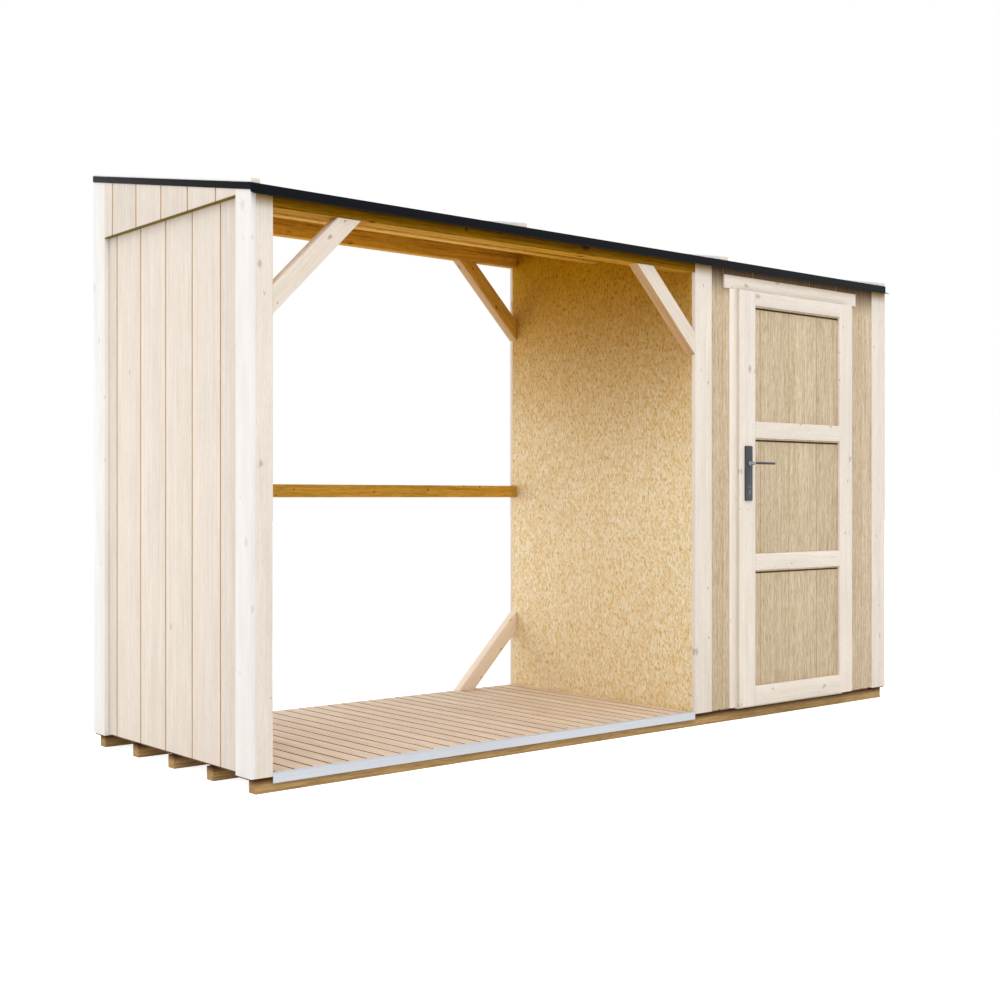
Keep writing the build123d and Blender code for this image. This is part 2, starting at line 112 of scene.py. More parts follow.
def wood(name, early, late, knot, ring_mm=9, ring_share=0.3, streaks=((90, 6, 0.3), (40, 2.5, 0.2)),
         knots=((190, 6, 0.45),), knot_stain=0.8, tone_share=0.05, roughness=0.62, specular=0.35, shade=None):
    """Planed softwood: growth rings cut lengthwise, pores along the grain, knots that bend the rings.

    The grain attribute holds each board's own place along, across and into the wood. Real rings are 2 to
    4 mm apart and fibres far finer, too fine for the render, so both are drawn wider. A streak is its
    length, width and share; a knot is the pitch it is scattered at, its radius and the share of places
    that have one. shade is painted shade under a cover: the slope and height of what covers the wood, how
    far below it the wood is darkened, in mm, and the colour it is multiplied by.
    """
    ragged_size = 13 * MM
    ragged_shift = (14 * MM, 9 * MM, 0)
    knot_stretch = (0.65, 1, 0)
    smallest_knot_share, largest_knot_share = 0.45, 1.5
    core_share, rim_share, bend_share = 0.4, 1.6, 5
    ring_drift = (0.06, 1, 1)
    clouds_per_metre = (4, 26, 26)
    made, tree, shader = new_material(name)
    grain = node(tree, "Attribute", attribute_name="grain").outputs["Vector"]
    tone = node(tree, "Attribute", attribute_name="tone").outputs["Fac"]
    place = node(tree, "SeparateXYZ", {0: grain})
    across = node(tree, "Math", {0: place.outputs["Y"], 1: place.outputs["Z"]}, operation="ADD")
    flat = node(tree, "CombineXYZ", {"X": place.outputs["X"], "Y": across.outputs[0]})
    ragged = node(tree, "TexNoise", {"Vector": flat.outputs[0], "Scale": 1 / ragged_size, "Detail": 2.0},
                  noise_dimensions="2D")
    shift = node(tree, "VectorMath", {0: ragged.outputs["Color"], 1: (0.5, 0.5, 0.5)}, operation="SUBTRACT")
    shift = node(tree, "VectorMath", {0: shift.outputs[0], 1: ragged_shift}, operation="MULTIPLY")
    flat = node(tree, "VectorMath", {0: flat.outputs[0], 1: shift.outputs[0]}, operation="ADD")
    flat = node(tree, "VectorMath", {0: flat.outputs[0], 1: knot_stretch}, operation="MULTIPLY")
    spots = pull = 0.0
    for pitch_mm, radius_mm, share in knots:
        cells = node(tree, "TexVoronoi", {"Vector": flat.outputs[0], "Scale": 1 / (pitch_mm * MM)},
                     voronoi_dimensions="2D", feature="F1")
        draw = node(tree, "SeparateColor", {0: cells.outputs["Color"]})
        chosen = node(tree, "Math", {0: draw.outputs[0], 1: share}, operation="LESS_THAN")
        size = node(tree, "MapRange", {"Value": draw.outputs[1], 3: smallest_knot_share,
                    4: largest_knot_share})
        away = node(tree, "Math", {0: cells.outputs["Distance"], 1: size.outputs[0]}, operation="DIVIDE")
        reach = radius_mm / pitch_mm
        core = node(tree, "MapRange", {"Value": away.outputs[0], 1: core_share * reach, 2: rim_share * reach,
                    3: 1.0, 4: 0.0}, interpolation_type="SMOOTHSTEP")
        spots = node(tree, "Math", {0: core.outputs[0], 1: chosen.outputs[0], 2: spots},
                     operation="MULTIPLY_ADD").outputs[0]
        bend = node(tree, "MapRange", {"Value": away.outputs[0], 1: 0.0, 2: bend_share * reach,
                    3: rim_share * radius_mm * MM, 4: 0.0}, interpolation_type="SMOOTHSTEP")
        pull = node(tree, "Math", {0: bend.outputs[0], 1: chosen.outputs[0], 2: pull},
                    operation="MULTIPLY_ADD").outputs[0]
    bent = node(tree, "CombineXYZ", {"Y": pull})
    slow = node(tree, "VectorMath", {0: grain, 1: ring_drift}, operation="MULTIPLY")
    slow = node(tree, "VectorMath", {0: slow.outputs[0], 1: bent.outputs[0]}, operation="ADD")
    rings = node(tree, "TexWave", {"Vector": slow.outputs[0], "Scale": math.tau / (20 * ring_mm * MM),
                 "Distortion": 4.0, "Detail": 2.0, "Detail Scale": 0.8, "Detail Roughness": 0.55},
                 wave_type="RINGS", rings_direction="X", wave_profile="SAW")
    figure = node(tree, "Math", {0: rings.outputs["Fac"], 1: ring_share}, operation="MULTIPLY").outputs[0]
    for length_mm, width_mm, share in streaks:
        stretch = (1 / (length_mm * MM), 1 / (width_mm * MM), 1 / (width_mm * MM))
        stretched = node(tree, "VectorMath", {0: grain, 1: stretch}, operation="MULTIPLY")
        pores = node(tree, "TexNoise", {"Vector": stretched.outputs[0], "Scale": 1.0, "Detail": 1.0})
        sharp = node(tree, "MapRange", {"Value": pores.outputs["Fac"], 1: 0.38, 2: 0.68})
        figure = node(tree, "Math", {0: sharp.outputs[0], 1: share, 2: figure},
                      operation="MULTIPLY_ADD").outputs[0]
    broad = node(tree, "VectorMath", {0: grain, 1: clouds_per_metre}, operation="MULTIPLY")
    clouds = node(tree, "TexNoise", {"Vector": broad.outputs[0], "Scale": 1.0, "Detail": 3.0})
    body = node(tree, "Mix", {0: figure, 6: linear(early), 7: linear(late)}, data_type="RGBA")
    lift = node(tree, "Math", {0: tone, 1: tone_share, 2: 1.0}, operation="MULTIPLY_ADD")
    cloud_part = node(tree, "MapRange", {"Value": clouds.outputs["Fac"], 1: 0.3, 2: 0.7, 3: 0.96, 4: 1.04})
    lift = node(tree, "Math", {0: lift.outputs[0], 1: cloud_part.outputs[0]}, operation="MULTIPLY")
    body = node(tree, "HueSaturation", {"Value": lift.outputs[0], "Color": body.outputs[2]})
    stain = node(tree, "Math", {0: spots, 1: knot_stain}, operation="MULTIPLY", use_clamp=True)
    body = node(tree, "Mix", {0: stain.outputs[0], 6: body.outputs["Color"], 7: linear(knot)},
                data_type="RGBA")
    # Painted shade: the wood darkens toward what covers it
    if shade:
        (slope, height), reach_mm, colour = shade
        spot = node(tree, "SeparateXYZ", {0: node(tree, "TexCoord").outputs["Object"]})
        cover = node(tree, "Math", {0: spot.outputs["Y"], 1: slope, 2: height}, operation="MULTIPLY_ADD")
        below = node(tree, "Math", {0: cover.outputs[0], 1: spot.outputs["Z"]}, operation="SUBTRACT")
        near = node(tree, "MapRange", {"Value": below.outputs[0], 1: 0.0, 2: reach_mm * MM, 3: 1.0, 4: 0.0},
                    interpolation_type="SMOOTHSTEP")
        body = node(tree, "Mix", {0: near.outputs[0], 6: body.outputs[2], 7: linear(colour)},
                    data_type="RGBA", blend_type="MULTIPLY")
    relief = node(tree, "Bump", {"Height": figure, "Strength": 0.25, "Distance": 0.6 * MM})
    tree.links.new(body.outputs[2], shader.inputs["Base Color"])
    tree.links.new(relief.outputs[0], shader.inputs["Normal"])
    shader.inputs["Roughness"].default_value = roughness
    shader.inputs["Specular IOR Level"].default_value = specular
    return made


def strand_board(name):
    """Oriented strand board: short strands near the upright, dark flecks between, and painted shade that
    makes it deeper honey high up.

    The strands are drawn finer than most real ones, because the photograph shows a fine pattern.
    """
    fleck_width, fleck_length = 6 * MM, 18 * MM
    painted_shade_start, painted_shade_end = 0.8, 1.86
    made, tree, shader = new_material(name)
    place = node(tree, "SeparateXYZ", {0: node(tree, "TexCoord").outputs["Object"]})
    sheet = node(tree, "CombineXYZ", {"X": place.outputs["Y"], "Y": place.outputs["Z"]})
    strand = (22 * MM, 6 * MM, 1)
    top = shade = None
    for layer, turn in enumerate((90, 76, 106, 60, 121, 97, 42)):
        turned = node(tree, "Mapping", {"Vector": sheet.outputs[0], "Location": (layer * 3.7, layer * 1.9, 0),
                      "Rotation": (0, 0, math.radians(turn)), "Scale": strand}, vector_type="TEXTURE")
        cells = node(tree, "TexVoronoi", {"Vector": turned.outputs[0], "Scale": 1.0}, voronoi_dimensions="2D")
        draw = node(tree, "SeparateColor", {0: cells.outputs["Color"]})
        if top is None:
            top, shade = draw.outputs[0], draw.outputs[1]
            continue
        over = node(tree, "Math", {0: draw.outputs[0], 1: top}, operation="GREATER_THAN")
        shade = node(tree, "Mix", {0: over.outputs[0], 2: shade, 3: draw.outputs[1]}).outputs[0]
        top = node(tree, "Math", {0: draw.outputs[0], 1: top}, operation="MAXIMUM").outputs[0]
    ramp = node(tree, "ValToRGB", {0: shade})
    stops = ((0.0, "#e6c789"), (0.3, "#f0d8a6"), (0.7, "#f6e5bf"), (1.0, "#fbf2da"))
    while len(ramp.color_ramp.elements) < len(stops):
        ramp.color_ramp.elements.new(0.5)
    for element, (at, colour) in zip(ramp.color_ramp.elements, stops):
        element.position = at
        element.color = linear(colour)
    stretched = node(tree, "VectorMath", {0: sheet.outputs[0], 1: (1 / fleck_width, 1 / fleck_length, 0)},
                     operation="MULTIPLY")
    flecks = node(tree, "TexNoise", {"Vector": stretched.outputs[0], "Scale": 1.0, "Detail": 2.0})
    fleck = node(tree, "MapRange", {"Value": flecks.outputs["Fac"], 1: 0.56, 2: 0.7, 3: 0.0, 4: 0.55})
    body = node(tree, "Mix", {0: fleck.outputs[0], 6: ramp.outputs[0], 7: linear("#a9803f")},
                data_type="RGBA")
    # Painted shade: a deeper honey toward the top, under the roof
    deep = node(tree, "MapRange", {"Value": place.outputs["Z"], 1: painted_shade_start, 2: painted_shade_end, 3: 0.0, 4: 1.0},
                interpolation_type="SMOOTHSTEP")
    body = node(tree, "Mix", {0: deep.outputs[0], 6: body.outputs[2], 7: linear("#c09a10")}, data_type="RGBA",
                blend_type="MULTIPLY")
    # Flecks are darker still where the painted shade is
    dark = node(tree, "Math", {0: fleck.outputs[0], 1: deep.outputs[0]}, operation="MULTIPLY")
    body = node(tree, "Mix", {0: dark.outputs[0], 6: body.outputs[2], 7: linear("#5c3d08")}, data_type="RGBA")
    relief = node(tree, "Bump", {"Height": top, "Strength": 0.3, "Distance": 1 * MM})
    tree.links.new(body.outputs[2], shader.inputs["Base Color"])
    tree.links.new(relief.outputs[0], shader.inputs["Normal"])
    shader.inputs["Roughness"].default_value = 0.6
    shader.inputs["Specular IOR Level"].default_value = 0.04
    return made


def roofing_felt_finish(name):
    """Bitumen felt faced with slate granules: matt charcoal with a coarse grit."""
    made, tree, shader = new_material(name)
    place = node(tree, "TexCoord").outputs["Object"]
    grit = node(tree, "TexVoronoi", {"Vector": place, "Scale": 1 / (3 * MM)})
    draw = node(tree, "SeparateColor", {0: grit.outputs["Color"]})
    patches = node(tree, "TexNoise", {"Vector": place, "Scale": 5.0, "Detail": 4.0})
    level = node(tree, "Math", {0: patches.outputs["Fac"], 1: 0.5, 2: draw.outputs[0]},
                 operation="MULTIPLY_ADD")
    spread = node(tree, "MapRange", {"Value": level.outputs[0], 1: 0.2, 2: 1.3})
    body = node(tree, "Mix", {0: spread.outputs[0], 6: linear("#2a2c30"), 7: linear("#4d5054")},
                data_type="RGBA")
    relief = node(tree, "Bump", {"Height": draw.outputs[0], "Strength": 0.6, "Distance": 1 * MM})
    tree.links.new(body.outputs[2], shader.inputs["Base Color"])
    tree.links.new(relief.outputs[0], shader.inputs["Normal"])
    shader.inputs["Roughness"].default_value = 0.9
    return made


def metal(name, dark, light, metallic, roughness, along=(1, 40, 40), grain_mm=4, specular=0.5):
    """Coated or bare sheet metal: a faint drawn texture along one direction and slightly uneven gloss."""
    made, tree, shader = new_material(name)
    place = node(tree, "TexCoord").outputs["Object"]
    drawn = node(tree, "VectorMath", {0: place, 1: along}, operation="MULTIPLY")
    lines = node(tree, "TexNoise", {"Vector": drawn.outputs[0], "Scale": 1 / (grain_mm * 40 * MM),
                 "Detail": 3.0})
    body = node(tree, "Mix", {0: lines.outputs["Fac"], 6: linear(dark), 7: linear(light)}, data_type="RGBA")
    gloss = node(tree, "MapRange", {"Value": lines.outputs["Fac"], 3: roughness - 0.08, 4: roughness + 0.08})
    tree.links.new(body.outputs[2], shader.inputs["Base Color"])
    tree.links.new(gloss.outputs[0], shader.inputs["Roughness"])
    shader.inputs["Metallic"].default_value = metallic
    shader.inputs["Specular IOR Level"].default_value = specular
    return made


# Planes that the painted shade in wood() is measured down from: the roof deck's underside and the bearers'
# top
UNDER_ROOF = (ROOF_SLOPE, roof_under(0))
UNDER_FLOOR = (0.0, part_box("bearers")[1][2])
PLANED_KNOTS = ((130, 7, 0.32), (70, 3, 0.25))
FRAME_STREAKS = ((200, 6, 0.35), (40, 3.5, 0.3))
ROOF_KNOTS = ((150, 7, 0.5), (60, 3, 0.3))
BRACE_STREAKS = ((150, 6, 0.25), (30, 4, 0.15))

# Spruce planed smooth: a pale, even face with soft rings, with golden painted shade close under the roof
planed = wood("planed_spruce", "#f2e9de", "#d9c8b4", "#ab9683", ring_share=0.18,
              streaks=((150, 6, 0.2), (22, 4, 0.2)), knots=PLANED_KNOTS, knot_stain=0.6, tone_share=0.02,
              shade=(UNDER_ROOF, 60, "#b08a20"))
# Planed spruce in the leaf's shadow, drawn lighter as painted light, so that the casing and the stile read as
# one tone
casing_wood = wood("planed_casing_spruce", "#faf2e7", "#e3d3bf", "#ab9683", ring_share=0.18,
                   streaks=((150, 6, 0.2),), knots=PLANED_KNOTS, knot_stain=0.6, tone_share=0.02)
# Planed spruce with painted light: nearly white, its knots only faint
painted_light_planed = wood("planed_spruce_painted_light", "#f2efeb", "#e7e1d9", "#c4b7a9", ring_share=0.15,
                streaks=((150, 6, 0.2),), knots=PLANED_KNOTS, knot_stain=0.35, tone_share=0.01)
# Sawn battens with painted light: white sides that almost vanish against the sky, with no gloss
painted_light_batten = wood("sawn_batten_spruce", "#fdfcfa", "#f6f3ee", "#dcd3c8", ring_share=0.15, knots=PLANED_KNOTS,
                 knot_stain=0.3, specular=0.1)
# Planed spruce in the bay's shelter: golden as painted shade, with strong rings and small dark knots
framing = wood("planed_spruce_golden_painted_shade", "#f3c254", "#b07c26", "#5e3a08", ring_share=0.35,
               streaks=FRAME_STREAKS, knots=((150, 6, 0.45), (60, 2.5, 0.3)), specular=0.05)
# Planed spruce right under the roof: deeper gold as painted shade, matt
roof_framing = wood("planed_spruce_deep_gold_painted_shade", "#e2ab38", "#8f5f12", "#553408", ring_share=0.35,
                    streaks=FRAME_STREAKS, knots=ROOF_KNOTS, specular=0.03)
# Planed spruce behind the front drip edge: gold as painted shade, turning olive toward the roof with more
# painted shade
eave_framing = wood("planed_spruce_olive_painted_shade", "#dca624", "#8a5c0a", "#4c2e06", ring_share=0.35,
                    streaks=FRAME_STREAKS, knots=ROOF_KNOTS, specular=0.02,
                    shade=(UNDER_ROOF, 120, "#948630"))
# Planed spruce of the front braces: pale faces with scattered small knots
brace_wood = wood("planed_brace_spruce", "#ebdfd1", "#d3bfa9", "#9c7c5e", ring_share=0.2,
                  streaks=BRACE_STREAKS, knots=((120, 4, 0.4), (60, 2.5, 0.4)), knot_stain=0.75)
# Planed pine of the low back braces: a warmer, peach face with brown knots
warm_brace = wood("planed_brace_pine", "#fff3e4", "#f2d8ba", "#a06c40", ring_share=0.25,
                  streaks=BRACE_STREAKS, knots=((120, 7, 0.45), (60, 2.5, 0.4)), knot_stain=0.8)
# Undersides of braces: tan and dull, as painted shade
brace_underside_shade = wood("brace_underside_painted_shade", "#d2ae80", "#a87c4c", "#8a6238", ring_share=0.25,
                  streaks=((150, 6, 0.35),), specular=0.1)
# Planed cladding of the walls: cream boards with long quiet streaks and few knots
pale_boards = wood("planed_cladding_spruce", "#ebe1d6", "#d3c0ab", "#bb9f80", ring_mm=14, ring_share=0.15,
                   streaks=((260, 7, 0.18), (60, 5, 0.18), (20, 6, 0.14)), knots=((260, 5, 0.3),),
                   knot_stain=0.5)
# Fine-sawn cladding of the shed's front and the door: tan, busy with short dark fibres, with painted shade
# close under the roof
tan_boards = wood("fine_sawn_cladding_spruce", "#e3d1b3", "#98784d", "#8d6b45", ring_mm=12, ring_share=0.12,
                  streaks=((300, 9, 0.18), (50, 5, 0.3), (18, 4, 0.22)), knots=((260, 4, 0.15),),
                  tone_share=0.05, shade=(UNDER_ROOF, 140, "#6e5632"))
# Milled groove sides: ochre, so that a joint reads as a soft line
groove_wood = wood("milled_groove_spruce", "#dfc092", "#c8a26c", "#a07c4c", ring_mm=12, specular=0.05)
# Milled tongues deep in the joints: a darker ochre
tongue_wood = wood("milled_tongue_spruce", "#cfa462", "#ac7c3c", "#7e5a30", ring_mm=12, specular=0.05)
# Strip under a gable: an olive line of painted shadow
gable_shadow = wood("gable_strip_painted_shadow", "#86702c", "#5f4c18", "#4a3a14", ring_mm=12, specular=0.05)
# Edges of floor boards: brown painted shade, so that the gaps show at a low angle
floor_shadow = wood("floor_edge_painted_shade", "#82644a", "#654a34", "#4a3424", specular=0.05)
# Strip under a door rail: a dark line of painted shadow
shadow_gap = wood("door_rail_painted_shadow", "#5a4528", "#40301a", "#2c2010", specular=0.05)
# Planed floor pine: pinkish tan, each board a little different
floor_wood = wood("planed_floor_pine", "#ecdac6", "#c4a88c", "#8a5f3c", ring_mm=10,
                  streaks=((260, 6, 0.3), (60, 4, 0.25)), knots=((230, 5, 0.25),), tone_share=0.06)
# Sawn and impregnated pine: olive brown and dry, with painted shade darkening it just under the floor
bearer_wood = wood("impregnated_sawn_pine", "#c8a670", "#937044", "#5d4222", ring_mm=8,
                   streaks=((120, 6, 0.4), (40, 4, 0.3)), roughness=0.75, specular=0.15,
                   shade=(UNDER_FLOOR, 26, "#6e5030"))
# Pressed strand board: a flickering yellow field with hardly any gloss
strands = strand_board("pressed_strand_board")
# Bitumen felt faced with granules: matt charcoal with a coarse grit
felt = roofing_felt_finish("granule_faced_bitumen_felt")
# Coil-coated steel sheet: a near-black, even band with a faint sheen
drip_coat = metal("coil_coated_steel", "#0b0d12", "#11141a", 0.0, 0.5, specular=0.08)
# Mill-finish aluminium: light grey, with a soft blurred shine
bare_aluminium = metal("mill_finish_aluminium", "#c4c9d2", "#d8dde4", 0.3, 0.5)
# Zinc-plated and passivated steel: dull straw yellow
passivated = metal("passivated_steel", "#bfae8c", "#d8c9ab", 0.5, 0.5)
# Lacquered steel plate: dark grey with upright draw lines
dark_handle = metal("lacquered_steel", "#2e3538", "#3d4548", 0.1, 0.45, along=(40, 40, 2))
# Powder-coated lever: blue black with a soft highlight
lever_coat = metal("powder_coated_zinc", "#232833", "#30363f", 0.1, 0.4)
# Brushed steel neck: a bright spot between plate and lever
bright_steel = metal("brushed_steel", "#c9cac8", "#dedcd8", 1.0, 0.35)
# Die-cast zinc of the key cylinder and galvanised nail heads: mid grey, half dull
grey_zinc = metal("die_cast_zinc", "#586063", "#737b7d", 0.6, 0.4)
# Near-black inside the keyway and the screw slots: painted shade, so that each reads as a hole
black_hole = metal("keyway_painted_shade", "#0b0b0c", "#151516", 0.0, 0.6)


# Shapes
def start_piece():
    """An empty mesh that boards are laid into, with each board's grain and tone."""
    piece = bmesh.new()
    piece.verts.layers.float_vector.new("grain")
    piece.verts.layers.float.new("tone")
    return piece


def lay(piece, shape, along=(0, 0, 1), across=(1, 0, 0), paint=0):
    """Puts a finished shape into a piece, with its own draw of grain and tone."""
    grain = shape.verts.layers.float_vector.get("grain") or shape.verts.layers.float_vector.new("grain")
    tone = shape.verts.layers.float.get("tone") or shape.verts.layers.float.new("tone")
    along = Vector(along).normalized()
    across = Vector(across).normalized()
    depth = along.cross(across)
    middle = sum((v.co for v in shape.verts), Vector()) / len(shape.verts)
    start = Vector([grain_draw.uniform(*span) for span in ((0, 40), (-0.05, 0.05), (0.03, 0.12))])
    shade = grain_draw.uniform(-1, 1)
    for v in shape.verts:
        local = v.co - middle
        v[grain] = Vector((local.dot(along), local.dot(across), local.dot(depth))) + start
        v[tone] = shade
    for f in shape.faces:
        f.material_index = paint
    scratch = bpy.data.meshes.new("scratch")
    shape.to_mesh(scratch)
    shape.free()
    piece.from_mesh(scratch)
    bpy.data.meshes.remove(scratch)


def soften(shape, width, segments=2, edges=None):
    """Bevels a shape's edges."""
    bmesh.ops.bevel(shape, geom=list(edges or shape.edges), offset=width, offset_type="OFFSET",
                    segments=segments, profile=0.5, affect="EDGES", material=-1, clamp_overlap=True)


def block(low, high, arris=ARRIS, top=None, under=None, only=None):
    """A timber between two corners with soft edges, or soft only along one axis, so that its ends meet flush.

    top and under give the heights of slanted faces.
    """
    shape = bmesh.new()
    bmesh.ops.create_cube(shape, size=1)
    low, high = Vector(low), Vector(high)
    for v in shape.verts:
        upper = v.co.z > 0
        v.co = low + Vector([(v.co[i] + 0.5) * (high[i] - low[i]) for i in range(3)])
        if top and upper:
            v.co.z = top(v.co.y)
        if under and not upper:
            v.co.z = under(v.co.y)
    edges = None
    if only is not None:
        edges = [e for e in shape.edges if abs((e.verts[0].co - e.verts[1].co).normalized()[only]) > 0.99]
    soften(shape, arris, 2, edges)
    return shape


def prism(points, normal, depth, arris=ARRIS):
    """A flat outline pulled out along its normal."""
    shape = bmesh.new()
    face = shape.faces.new([shape.verts.new(p) for p in points])
    pulled = bmesh.ops.extrude_face_region(shape, geom=[face])
    far = [v for v in pulled["geom"] if isinstance(v, bmesh.types.BMVert)]
    bmesh.ops.translate(shape, verts=far, vec=Vector(normal) * depth)
    bmesh.ops.recalc_face_normals(shape, faces=shape.faces)
    if arris:
        soften(shape, arris)
    return shape


def rod(start, end, radius, sides=24, arris=0.0):
    """A round bar from one point to another."""
    shape = bmesh.new()
    line = Vector(end) - Vector(start)
    turn = line.to_track_quat("Z", "Y").to_matrix().to_4x4()
    middle = Matrix.Translation((Vector(start) + Vector(end)) / 2)
    bmesh.ops.create_cone(shape, cap_ends=True, segments=sides, radius1=radius, radius2=radius,
                          depth=line.length, matrix=middle @ turn)
    if arris:
        rims = [e for e in shape.edges if any(len(f.verts) > 4 for f in e.link_faces)]
        soften(shape, arris, 2, rims)
    return shape


def finish_piece(piece, name, body, materials, nodes, smooth=0.6):
    """Makes a piece's object, hangs it on its body and hides the CAD nodes it stands for."""
    mesh = bpy.data.meshes.new(name)
    piece.to_mesh(mesh)
    piece.free()
    for material in materials:
        mesh.materials.append(material)
    made = bpy.data.objects.new(name, mesh)
    bpy.context.collection.objects.link(made)
    mesh.shade_smooth()
    mesh.set_sharp_from_angle(angle=smooth)
    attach(made, body)
    if nodes:
        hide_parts(*nodes)
    return made


def timber(name, low, high, along, across, slot, material, arris=ARRIS, top=None, nodes=None, body="root"):
    """One timber as a piece of its own."""
    piece = start_piece()
    lay(piece, block(low, high, arris, top), along, across)
    return finish_piece(piece, name, body, [material], nodes or [name])


UP = (0, 0, 1)
SIDE = (1, 0, 0)
DEEP = (0, 1, 0)


# Bearers
def make_bearers():
    low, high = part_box("bearers")
    count = 5
    width = 40 * MM
    pitch = (high[1] - low[1] - width) / (count - 1)
    piece = start_piece()
    for i in range(count):
        y0 = low[1] + i * pitch
        lay(piece, block((low[0], y0, low[2]), (high[0], y0 + width, high[2]), 1 * MM), SIDE, DEEP)
    finish_piece(piece, "bearer_skids", "root", [bearer_wood], ["bearers"])


# Floor boards, cut round the posts and the shed's walls
def make_floor():
    low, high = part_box("floor_deck")
    posts = [[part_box(f"{place}_{side}_post") for place in ("front", "back")]
             for side in ("left", "middle", "right")]
    wall_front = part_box("front_cladding_left")[1][1]
    wall_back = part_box("shed_back_cladding")[0][1]
    shed_left = posts[1][0][1][0]
    shed_right = posts[2][0][0][0]
    piece = start_piece()
    first_seam = LEFT + 306 * MM
    narrowest, tongue_lap, tongue_low, tongue_top = 2 * MM, 3 * MM, 1 * MM, 5 * MM
    seams = [first_seam + i * FLOOR_PITCH for i in range(-5, 50)]
    cuts = [low[0]] + [s for s in seams if low[0] + FLOOR_PITCH / 2 < s < high[0] - FLOOR_PITCH / 2]
    edges = sorted(x for post in posts for x in (post[0][0][0] - FLOOR_FIT, post[0][1][0] + FLOOR_FIT))
    for x0, next_cut in zip(cuts, cuts[1:] + [high[0] + FLOOR_GAP]):
        x1 = next_cut - FLOOR_GAP
        stops = [x0] + [x for x in edges if x0 < x < x1] + [x1]
        for a, b in zip(stops, stops[1:]):
            middle = (a + b) / 2
            y0, y1 = low[1], high[1]
            if shed_left < middle < shed_right:
                y0, y1 = wall_front, wall_back
            for front_post, back_post in posts:
                if front_post[0][0] - FLOOR_FIT < middle < front_post[1][0] + FLOOR_FIT:
                    y0 = front_post[1][1] + FLOOR_FIT
                    y1 = back_post[0][1] - FLOOR_FIT
            if b - a > narrowest:
                lay(piece, block((a, y0, low[2]), (b, y1, high[2]), 1.5 * MM), DEEP, SIDE)
            if b == x1 and x1 < high[0]:
                tongue = block((x1 - tongue_lap, y0, low[2] + tongue_low),
                               (x1 + FLOOR_GAP + tongue_lap, y1, low[2] + tongue_top), 0.5 * MM)
                lay(piece, tongue, DEEP, SIDE, 1)
    # Board sides and tongues take a brown painted shade, so that the gaps read dark
    piece.normal_update()
    for face in piece.faces:
        if abs(face.normal.x) > 0.5:
            face.material_index = 1
    finish_piece(piece, "floor_boards", "root", [floor_wood, floor_shadow], ["floor_deck"])


# Metal angle over the bay's floor edge
def make_floor_edge():
    low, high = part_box("floor_edge_strip")
    sheet = 2 * MM
    outline = [(low[1], low[2]), (low[1] + sheet, low[2]), (low[1] + sheet, high[2] - sheet),
               (high[1], high[2] - sheet), (high[1], high[2]), (low[1], high[2])]
    points = [(low[0], y, z) for y, z in outline]
    piece = start_piece()
    lay(piece, prism(points, SIDE, high[0] - low[0], 0.7 * MM), SIDE, DEEP)
    finish_piece(piece, "floor_edge_angle", "root", [bare_aluminium], ["floor_edge_strip"])


# Posts: a face board over the framing post, their tops cut to the roof
def make_posts():
    for place in ("front", "back"):
        for side in ("left", "middle", "right"):
            name = f"{place}_{side}_post"
            low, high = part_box(name)
            piece = start_piece()
            # Packer under the post in bearer pine: it sits above the bearers, so the bearer wood's painted
            # shade darkens it in full
            lay(piece, block((low[0] + PACKER, low[1] + PACKER, low[2]),
                             (high[0] - PACKER, high[1] - PACKER, low[2] + PACKER), 1 * MM), UP, SIDE, 2)
            low[2] += PACKER
            if side == "middle":
                face = 18 * MM
                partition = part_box("partition_panel")[1][0]
                split = low[1] + face if place == "front" else high[1] - face
                face_y = (low[1], split) if place == "front" else (split, high[1])
                post_y = (split, high[1]) if place == "front" else (low[1], split)
                for x0, (y0, y1) in ((low[0], face_y), (partition, post_y)):
                    lay(piece, block((x0, y0, low[2]), (high[0], y1, high[2]), top=roof_under), UP, SIDE)
            else:
                split = low[0] + TRIM_BOARD if side == "left" else high[0] - 2.4 * TRIM_BOARD
                for x0, x1 in ((low[0], split), (split, high[0])):
                    # The left trim board takes painted light
                    trim = side == "left" and x0 == low[0]
                    shape = block((x0, low[1], low[2]), (x1, high[1], high[2]), top=roof_under)
                    lay(piece, shape, UP, DEEP, int(trim))
            finish_piece(piece, f"{name}_timber", "root", [planed, painted_light_planed, bearer_wood],
                         [name])


# Beams, purlins and rails
def paint_faces(piece):
    """Gives the faces that look down a piece's second material, and those out at the back its third. On every
    piece but the low back braces the second is a painted-shade material.
    """
    piece.normal_update()
    for face in piece.faces:
        face.material_index = 2 if face.normal.y > 0.7 else int(face.normal.z < -0.5)


